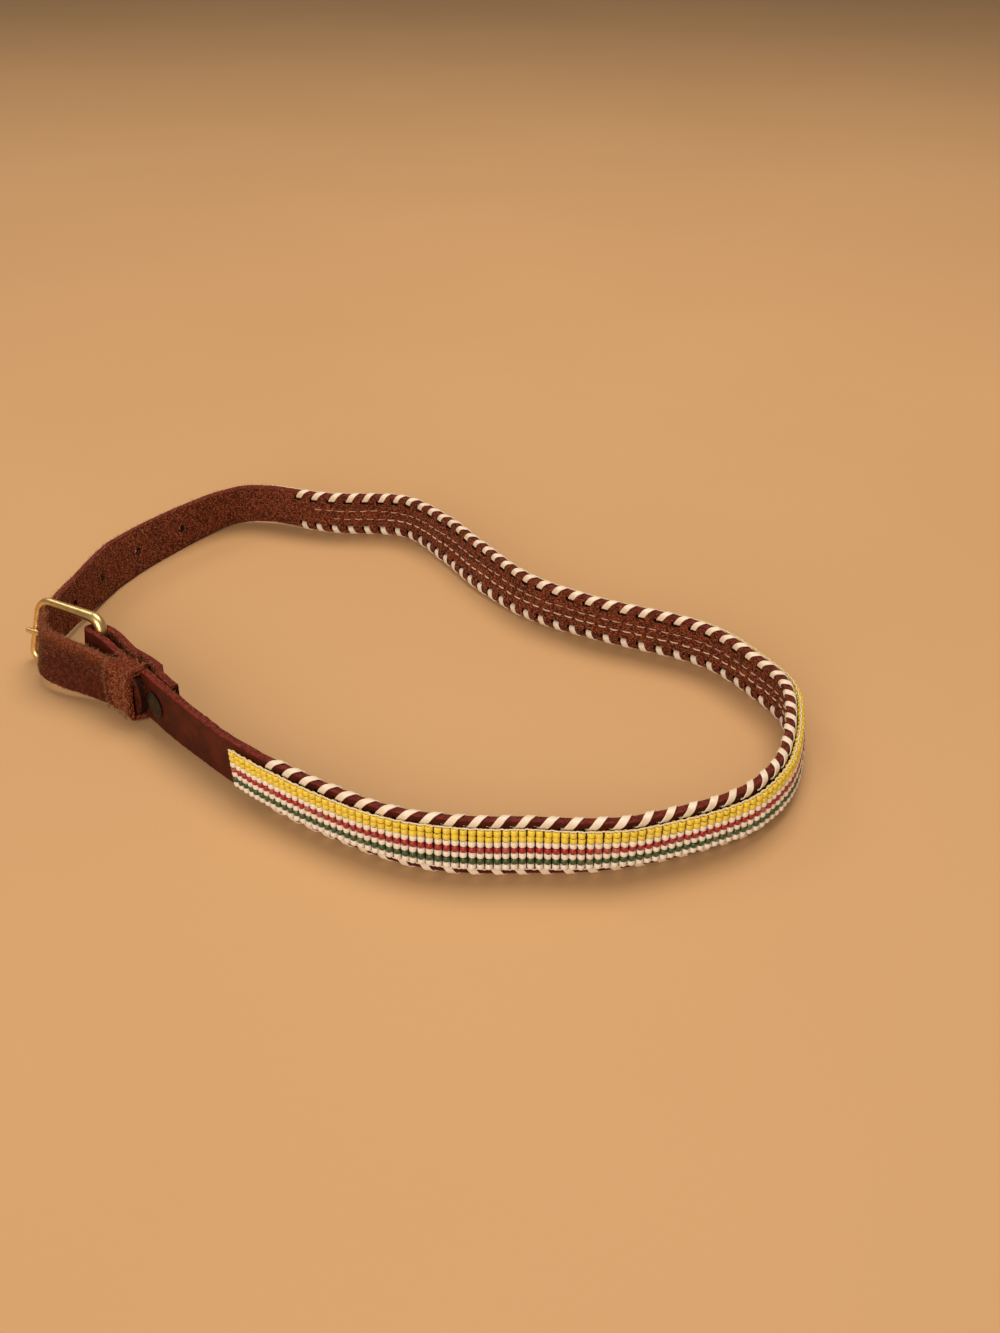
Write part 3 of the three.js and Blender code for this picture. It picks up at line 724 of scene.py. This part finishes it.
for name, node, edge in (("lace_upper", "lace_top", 1), ("lace_lower", "lace_bottom", -1)):
    spots = []
    for count in range(lace_wraps - 1):
        sway = random.uniform(-0.03, 0.03)
        spots.append(spot_at(slit_places[count] + random.uniform(-0.15, 0.15), 0, 0, (0, sway, 0)))
    points, faces, _ = repeated(wrap, strip_faces, spots)
    if edge > 0:
        points[:, 2] += strap_width
    else:
        points[:, 2] *= -1
        faces = [face[::-1] for face in faces]
    make_piece(name, placed(points), faces, points, lace_material, [node])

# %% [markdown]
# ## The beadwork
# Seven rows of seed beads make the stripes: two yellow, then white, red, white, green and white. Each bead is
# a short glass tube with soft rims. The thread goes up through one column of seven and down through the next,
# so the holes point up, and the columns stand a little apart and a little uneven. One bead is spun from a
# small outline and copied. A number on each bead says which row it is in, and another shades it by chance.

# %% Spin one bead and copy it
bead_pitch, bead_rows = 2.45, 7
row_pitch = 1.97
beads_height = bead_rows * row_pitch
bead_inward = -(half + 2 * clearance + lace_thickness + 0.42)
outline = [(0.42, 0.6), (0.86, 0.93), (1.19, 0.6), (1.19, -0.6), (0.86, -0.93), (0.42, -0.6)]


def spun(outline, steps, closed=True):
    """Spins an outline of radius and height round Z."""
    bm = bmesh.new()
    verts = [bm.verts.new((radius, 0, height)) for radius, height in outline]
    pairs = list(zip(verts, verts[1:] + verts[:1] if closed else verts[1:]))
    edges = [bm.edges.new(pair) for pair in pairs]
    bmesh.ops.spin(
        bm, geom=verts + edges, cent=(0, 0, 0), axis=(0, 0, 1), angle=2 * math.pi, steps=steps,
        use_merge=True,
    )
    bmesh.ops.remove_doubles(bm, verts=bm.verts, dist=1e-4)
    bmesh.ops.recalc_face_normals(bm, faces=bm.faces)
    return bm


bead, bead_faces = taken(spun(outline, 10))
band_from, band_to = lace_from - band_past, lace_end + band_past
columns = int((band_to - band_from) / bead_pitch)
band_top = strap_width - band_below
bead_spots, bead_row = [], []
for column in range(columns):
    along = band_from + (column + 0.5) * bead_pitch
    wave = 0.16 * math.sin(along / 11) + random.uniform(-0.1, 0.1)
    shove = random.uniform(-0.1, 0.1)
    for row in range(bead_rows):
        height = band_top - (row + 0.5) * row_pitch + wave * (1 - row / 10)
        tilt = (random.gauss(0, 0.04), random.gauss(0, 0.05), random.uniform(0, 3))
        plump = random.uniform(0.91, 0.98)
        size = (plump, plump, random.uniform(0.95, 1.04))
        along_here = along + shove * (1 - row / 6) + random.gauss(0, 0.04)
        inward = bead_inward + random.gauss(0, 0.06)
        bead_spots.append(spot_at(along_here, inward, height, tilt, size))
        bead_row.append(row)
points, faces, shade = repeated(bead, bead_faces, bead_spots)
row_value = np.repeat((np.array(bead_row) + 0.5) / bead_rows, len(bead))

yellow, white = (0.95, 0.74, 0.07), (0.98, 0.9, 0.8)
red, green = (0.4, 0.014, 0.018), (0.036, 0.092, 0.03)
stripe_colors = [yellow, yellow, white, red, white, green, white]
bead_finish = Finish("beads", Specular_IOR_Level=0.55, Coat_Weight=0.25, Coat_Roughness=0.2)
stops = [(row / bead_rows, color) for row, color in enumerate(stripe_colors)]
stripe = bead_finish.node("ValToRGB", {"stops": stops, "steps": "CONSTANT"}, {0: bead_finish.own("row")})
chance = bead_finish.own("shade")
bead_color = bead_finish.blend(0.1 * chance, stripe, (0.25, 0.12, 0.05, 1))
bead_color = bead_finish.blend(bead_finish.between(chance, 0.8, 1) * 0.1, bead_color, (1, 0.85, 0.6, 1))
bead_cloud = bead_finish.grain(bead_finish.bench(), 0.7, 2, 0.5)
bead_material = bead_finish.done(bead_color, 0.27 + 0.2 * bead_cloud, bead_cloud, depth=0.03)
make_piece(
    "beadwork", placed(points), faces, points, bead_material, ["bead_band"],
    {"row": row_value, "shade": shade}, sharp=80,
)
print("beads:", len(bead_spots), "in", columns, "columns")

# %% [markdown]
# ## Threads
# A white thread runs along the top and the bottom of the beadwork and dips at every column, and it is wound
# down both ends of the band. Two lines of thin running stitches on the inner face hold the band to the
# leather. A stitch is a thin bar whose ends dive into the suede.

# %% Edge thread and stitches
def thread_finish(name, dark, light):
    finish = Finish(name, Specular_IOR_Level=0.25)
    place = finish.bench()
    twist = finish.grain(place, 0.25, 2, 0.5, (0.5, 1, 1))
    color = finish.blend(finish.between(twist, 0.3, 0.7), (*dark, 1), (*light, 1))
    color = finish.blend(finish.own("shade") * 0.45, color, (0.3, 0.15, 0.08, 1))
    return finish.done(color, 0.75 + 0.1 * twist, twist, depth=0.06)


white_thread = thread_finish("white_thread", (0.72, 0.58, 0.46), (0.95, 0.86, 0.76))
tan_thread = thread_finish("tan_thread", (0.6, 0.42, 0.29), (0.95, 0.8, 0.66))

parts = []
for height, sway in ((band_top + 0.12, 1), (band_top - beads_height - 0.12, -1)):
    strand, strand_faces = taken(bar(columns * bead_pitch, 0.46, 0.42, 0.14, 1, columns * 4 - 1))
    strand[:, 0] += (band_from + band_to) / 2
    dip = np.cos(2 * math.pi * (strand[:, 0] - band_from) / bead_pitch)
    strand[:, 2] += height + sway * 0.13 * dip + 0.16 * np.sin(strand[:, 0] / 11)
    strand[:, 1] += bead_inward + 0.15 * np.sin(strand[:, 0] * 1.7)
    parts.append((strand, strand_faces))
for along in (band_from - 0.1, band_to + 0.1):
    strand, strand_faces = taken(bar(beads_height + 0.6, 0.5, 0.5, 0.14, 1, 40))
    winding = along + 0.16 * np.sin(strand[:, 0] * 3.05) + strand[:, 1]
    turned_strand = np.stack([winding, strand[:, 2] + bead_inward - 0.2, strand[:, 0]], -1)
    turned_strand[:, 2] += band_top - beads_height / 2 + 0.16 * math.sin(along / 11)
    parts.append((turned_strand, [face[::-1] for face in strand_faces]))


def joined(parts):
    points, faces = [], []
    for part_points, part_faces in parts:
        faces += [[index + len(points) for index in face] for face in part_faces]
        points += list(part_points)
    return np.array(points), faces


points, faces = joined(parts)
thread_tone = {"shade": 0.2 * np.ones(len(points))}
make_piece("edge_thread", placed(points), faces, points, white_thread, extra=thread_tone)

stitch_length, stitch_pitch = 3.7, 4.75
stitch, stitch_faces = taken(bar(stitch_length, 0.4, 0.36, 0.1, 1, 7))
reach = 2 * stitch[:, 0] / stitch_length
stitch[:, 1] += half + 0.2 - 0.55 * np.abs(reach) ** 3
stitch[:, 0] *= 0.98
stitch_spots, stitch_tone = [], []
bright_until = 545
for line, height in ((0, 11.6), (1, 7.6)):
    along = lace_from + 6 + 3 * line
    while along < lace_end - 4 - 8 * line:
        bright = line == 1 and along < bright_until
        thick = 1.35 if bright else random.uniform(0.6, 0.9)
        turn = (0, random.gauss(0, 0.04), random.gauss(0, 0.02))
        size = (random.uniform(0.85, 1.1), 1, thick)
        stitch_spots.append(spot_at(along, 0, height + random.gauss(0, 0.12), turn, size))
        stitch_tone.append(0.0 if bright else random.uniform(0.35, 0.8))
        along += stitch_pitch + random.uniform(-0.3, 0.3)
points, faces, _ = repeated(stitch, stitch_faces, stitch_spots)
tone = np.repeat(stitch_tone, len(stitch))
make_piece("stitches", placed(points), faces, points, tan_thread, extra={"shade": tone})
print("stitches:", len(stitch_spots))

# %% [markdown]
# ## The keeper
# The keeper is a band of the same leather with its suede side out. It goes round the strap and the tucked
# end, and is a little loose, so a dark gap shows at its mouth. It starts as a flat sleeve on the bench: a
# grid whose columns are carried round a rounded rectangle. Solidify gives it a wall, and noise roughens it
# like torn suede.

# %% Make the keeper
def shaped_grid(columns, rows, place):
    """A grid whose unit coordinates are carried to points by a function. Meeting edges are merged."""
    bm = bmesh.new()
    bmesh.ops.create_grid(bm, x_segments=columns, y_segments=rows, size=0.5)
    for vert in bm.verts:
        vert.co = place(vert.co.x + 0.5, vert.co.y + 0.5)
    bmesh.ops.remove_doubles(bm, verts=bm.verts, dist=1e-4)
    bmesh.ops.recalc_face_normals(bm, faces=bm.faces)
    return bm


def round_loop(left, right, bottom, top, radius, steps=8):
    """Points round a rectangle with rounded corners, in even steps of its length."""
    corners = [(right, bottom), (right, top), (left, top), (left, bottom)]
    loop = []
    for index, corner in enumerate(corners):
        corner = np.array(corner, float)
        toward = np.array(corners[index - 1], float) - corner
        onward = np.array(corners[(index + 1) % 4], float) - corner
        start = radius * toward / np.linalg.norm(toward)
        end = radius * onward / np.linalg.norm(onward)
        centre = corner + start + end
        for share in np.linspace(0, math.pi / 2, steps):
            loop.append(centre - end * math.cos(share) - start * math.sin(share))
    loop.append(loop[0])
    loop = np.array(loop)
    reached = np.concatenate([[0], np.cumsum(np.linalg.norm(np.diff(loop, axis=0), axis=1))])
    read = lambda share, axis: np.interp(share * reached[-1], reached, loop[:, axis])
    return lambda share: np.array([read(share, 0), read(share, 1)])


keeper_wide = eased(end_offsets, keeper_from)
near_side = half + clearance
keeper_bulge, keeper_flare = 0.6, 0.7
keeper_loop = round_loop(-keeper_wide - near_side, near_side, -clearance, strap_width + clearance, 1.3)


def keeper_place(around, across):
    inward, height = keeper_loop(around)
    along = keeper_from + 0.2 + across * (keeper_width - 0.4)
    if inward < 0:
        inward += keeper_wide - eased(end_offsets, along)
        loose = smooth(-inward, 2, 4) * smooth(across, 0.1, 1.0)
        from_middle = (height - middle_height) / middle_height
        inward -= keeper_bulge * max(0.0, 1 - from_middle**2) * smooth(-inward, 2, 4)
        inward -= loose * (2.4 - 1.5 * height / strap_width)
        inward -= keeper_flare * smooth(-inward, 2, 4) * smooth(1 - across, 0.75, 1.0)
        along -= loose * 1.2 * (1 - height / strap_width)
    return along, inward, height


bm = shaped_grid(150, 24, keeper_place)
bmesh.ops.solidify(bm, geom=bm.faces, thickness=keeper_wall)
points, keeper_faces = taken(bm)
mouth = np.clip(np.abs(points[:, 0] - (keeper_from + keeper_end) / 2) - (keeper_width / 2 - 1.4), 0, 1)
free = smooth(points[:, 2], -1.2, 0.8)
torn = roughened(points, 1.2, 0.22, free * (0.5 + mouth))
keeper_suede = leather_finish("keeper_suede", 1.0)
make_piece("keeper_band", placed(torn), keeper_faces, points, keeper_suede, ["keeper"])
print("keeper wall box:", points.min(0).round(2), points.max(0).round(2))

# %% [markdown]
# ## The buckle
# The buckle is a brass ring, thick at the heel bar and thinner at the front bar, with round corners. A
# grid is carried along the ring and round the bar's section. The prong is an eye round the heel bar with a
# tapered rod, which goes through the strap's first hole and rests on the front bar.

# %% Brass and the ring
def metal_finish(name, dark, light, rough, scratch_depth, metallic=1.0):
    finish = Finish(name, Metallic=metallic)
    place = finish.bench()
    patina = finish.grain(place, 2.5, 4, 0.65)
    scratches = finish.grain(place, 0.22, 3, 0.6, (0.25, 1, 1))
    color = finish.blend(finish.between(patina, 0.35, 0.7), (*light, 1), (*dark, 1))
    uneven = rough + 0.12 * (patina - 0.4) + 0.04 * (scratches - 0.5)
    return finish.done(color, uneven, scratches, depth=scratch_depth)


brass = metal_finish("brass", (0.72, 0.5, 0.2), (0.88, 0.68, 0.34), 0.33, 0.0005)
heel_base, heel_ahead, heel_inward, heel_up = [values[0] for values in axes_at(np.zeros(1))]
reach_axis = np.array(Matrix.Rotation(buckle_turn, 3, Vector(heel_up)) @ Vector(-heel_ahead))
side_axis = np.cross(heel_up, reach_axis)


def in_buckle(points):
    """Places points given by reach from the heel bar, side (outward) and height, in metres."""
    points = np.asarray(points, float)
    origin = heel_base + fold_radius * heel_inward
    local = points[:, 0:1] * reach_axis + points[:, 1:2] * side_axis + points[:, 2:3] * heel_up
    return (origin + local + shift) * MM


ring_corner = 4.8
ring_bottom = -room_below - heel_bar_diameter / 2
ring_top = strap_width + room_above + heel_bar_diameter / 2
opening = round_loop(0, buckle_reach, ring_bottom, ring_top, ring_corner, 12)


def bar_radius(reach):
    """The ring is a little thicker than the bars' nominal sizes, and thins toward the front bar."""
    heel_diameter, front_diameter = heel_bar_diameter + 0.9, front_bar_diameter + 0.5
    return (heel_diameter + (front_diameter - heel_diameter) * smooth(reach, 0, buckle_reach)) / 2


def ring_place(around, section):
    here, ahead, behind = opening(around % 1), opening((around + 0.003) % 1), opening((around - 0.003) % 1)
    path = (ahead - behind) / np.linalg.norm(ahead - behind)
    out = np.array([path[1], -path[0]])
    angle = 2 * math.pi * section
    radius = bar_radius(here[0])
    spot = here + out * radius * math.cos(angle)
    slant = front_slant * smooth(spot[0], 0, buckle_reach) * (0.5 - spot[1] / strap_width)
    return spot[0] + slant, radius * math.sin(angle), spot[1]


points, faces = taken(shaped_grid(160, 16, ring_place))
make_piece("buckle_ring", in_buckle(points), faces, points, brass, ["buckle_frame"])

# %% The prong
eye_outline = [(2.05, -1.5), (2.05, 1.5), (2.75, 1.5), (3.15, 1.2), (3.25, 0), (3.15, -1.2), (2.75, -1.5)]
eye = taken(spun(eye_outline, 28))
rod_from = 2.6
rod_length = prong_length - rod_from
rod_points, rod_faces = taken(bar(rod_length, prong_diameter, prong_diameter, 0.55, 3, 24))
share = 1 - (0.5 - rod_points[:, 0] / rod_length) ** 1.8
taper = (1.12 - 0.1 * share) * np.sqrt(np.clip(1 - np.clip((share - 0.98) / 0.02, 0, 1) ** 2, 0.3, 1))
rod_points[:, 1:] *= taper[:, None]
rod_points[:, 0] = rod_from + share * rod_length
tilt_cos, tilt_sin = math.cos(prong_tilt), math.sin(prong_tilt)
swing = np.array([[tilt_cos, -tilt_sin, 0], [tilt_sin, tilt_cos, 0], [0, 0, 1]])
rod_points = rod_points @ swing.T
points, faces = joined([eye, (rod_points, rod_faces)])
points[:, 2] += middle_height
make_piece("buckle_tongue", in_buckle(points), faces, points, brass, ["buckle_prong"])

# %% [markdown]
# ## The rivet
# A domed cap outside, a post through both layers and a flat washer inside. It is one outline spun round its
# axis, turned to point through the leather, and finished as dark antique brass.

# %% Spin the rivet
face = half + 0.12
cap = rivet_cap / 2
back = tucked + face
rivet_outline = [
    (0.0, -face - 1.75), (1.6, -face - 1.68), (3.1, -face - 1.45), (4.2, -face - 1.05), (4.9, -face - 0.55),
    (cap, -face - 0.2), (cap - 0.1, -face), (rivet_post / 2, -face), (rivet_post / 2, back),
    (3.8, back), (4.0, back + 0.3), (3.7, back + 0.8), (1.5, back + 0.95), (0.0, back + 0.95),
]
points, faces = taken(spun(rivet_outline, 40, closed=False))
points = np.stack([points[:, 0] + rivet_from, points[:, 2], points[:, 1] + middle_height], -1)
faces = [face_points[::-1] for face_points in faces]
rivet_metal = metal_finish("antique_brass", (0.012, 0.009, 0.006), (0.045, 0.03, 0.018), 0.5, 0.05, 0.6)
make_piece("rivet_spool", placed(points), faces, points, rivet_metal, ["rivet"])

# %% [markdown]
# ## Fuzz
# Raw suede sheds short fibres, most of all along cut edges. A fibre is a thin three-sided cone, bent a little
# and copied. The fibres stand along the tucked end, the punched end, the keeper and the end of the fold, and
# on the flesh side round the punched holes.

# %% Grow the fibres
bm = bmesh.new()
bmesh.ops.create_cone(bm, cap_ends=True, segments=3, radius1=0.075, radius2=0.03, depth=1)
bmesh.ops.translate(bm, vec=(0, 0, 0.5), verts=bm.verts)
long_edges = [edge for edge in bm.edges if abs(edge.verts[0].co.z - edge.verts[1].co.z) > 0.5]
bmesh.ops.subdivide_edges(bm, edges=long_edges, cuts=2)
bmesh.ops.recalc_face_normals(bm, faces=bm.faces)
fibre, fibre_faces = taken(bm)
fibre_spots = []


def grow(count, low, high, along, inward, height, facing, spread):
    """Grows fibres at random places within ranges. facing turns them from up (0) to outward (90 degrees)."""
    for _ in range(count):
        turn = (math.radians(facing) + random.gauss(0, spread), random.gauss(0, spread), 0)
        size = (1, 1, random.uniform(low, high))
        spot = [random.uniform(*limits) for limits in (along, inward, height)]
        fibre_spots.append(spot_at(*spot, turn, size))


cut, top_edge, bottom_edge = (-half, half), (strap_width - 0.4, strap_width - 0.1), (0.1, 0.4)
grain_face, flesh_face = (-half, -half + 0.1), (half - 0.1, half)
worn_end, tucked_face = (prong_hole - 8, tuck_start), (prong_hole - 4, tuck_start)
fold_edge, holed_end = (strap_from - 0.1, strap_from + 1.5), (lace_end - 30, prong_hole + 14)
grow(1100, 0.6, 1.7, (prong_hole - 8, tuck_start + 2), cut, top_edge, 0, 0.7)
grow(800, 0.5, 1.4, (lace_end + 12, prong_hole - 8), cut, top_edge, 0, 0.6)
grow(900, 0.4, 1.0, tucked_face, grain_face, (11, strap_width), 90, 1.0)
grow(260, 0.4, 0.9, tucked_face, grain_face, (0, 11), 90, 1.0)
grow(300, 0.5, 1.2, worn_end, cut, bottom_edge, 180, 0.6)
grow(1500, 0.5, 1.1, holed_end, flesh_face, (0.3, strap_width - 0.3), -90, 1.1)
grow(90, 0.4, 0.9, (6, lace_from - 4), cut, top_edge, 0, 0.7)
grow(120, 0.5, 1.3, fold_edge, cut, (0, strap_width), 0, 1.2)
keeper_fibres = 2400
for _ in range(keeper_fibres):
    around = random.random()
    across = random.random() if random.random() < 0.5 else random.choice((0.0, 1.0))
    along, inward, height = keeper_place(around, across)
    if height < 1.5:
        continue
    onward, before = keeper_place((around + 0.004) % 1, across), keeper_place((around - 0.004) % 1, across)
    path = np.subtract(onward, before)
    out = np.array([path[2], -path[1]]) / np.linalg.norm(path[1:])
    base = np.array([inward, height]) + (keeper_wall - 0.1) * out
    facing = math.atan2(-out[0], out[1])
    turn = (facing + random.gauss(0, 0.8), random.gauss(0, 0.8), 0)
    fibre_spots.append(spot_at(along, base[0], base[1], turn, (1, 1, random.uniform(0.4, 1.1))))
points, faces, shade = repeated(fibre, fibre_faces, fibre_spots)
points[:, 1] += 0.12 * np.sin(points[:, 0] * 5 + points[:, 2] * 3)
fuzz_finish = Finish("suede_fuzz", Roughness=0.9, Specular_IOR_Level=0.1)
fuzz_color = fuzz_finish.blend(fuzz_finish.own("shade"), (0.14, 0.036, 0.018, 1), (0.52, 0.235, 0.12, 1))
fuzz_material = fuzz_finish.done(fuzz_color)
make_piece(
    "suede_fuzz", placed(points), faces, points, fuzz_material, extra={"shade": shade},
)
print("fibres:", len(fibre_spots))

# %% Floor
floor_finish = Finish("floor_sheet", Roughness=0.62, Specular_IOR_Level=0.3)
floor_place = floor_finish.node("TexCoord", output=3)
floor_tone = floor_finish.grain(floor_place, 0.35, 3, 0.5)
floor_dark, floor_light = (0.6, 0.368, 0.182, 1), (0.625, 0.385, 0.192, 1)
floor_color = floor_finish.blend(floor_finish.between(floor_tone, 0.3, 0.7), floor_dark, floor_light)
floor_finish.done(floor_color)
floor_mesh = bpy.data.meshes.new("floor")
bm = bmesh.new()
bmesh.ops.create_grid(bm, x_segments=2, y_segments=2, size=6)
bm.to_mesh(floor_mesh)
bm.free()
floor_mesh.materials.append(floor_finish.material)
floor = bpy.data.objects.new("floor", floor_mesh)
bpy.context.scene.collection.objects.link(floor)
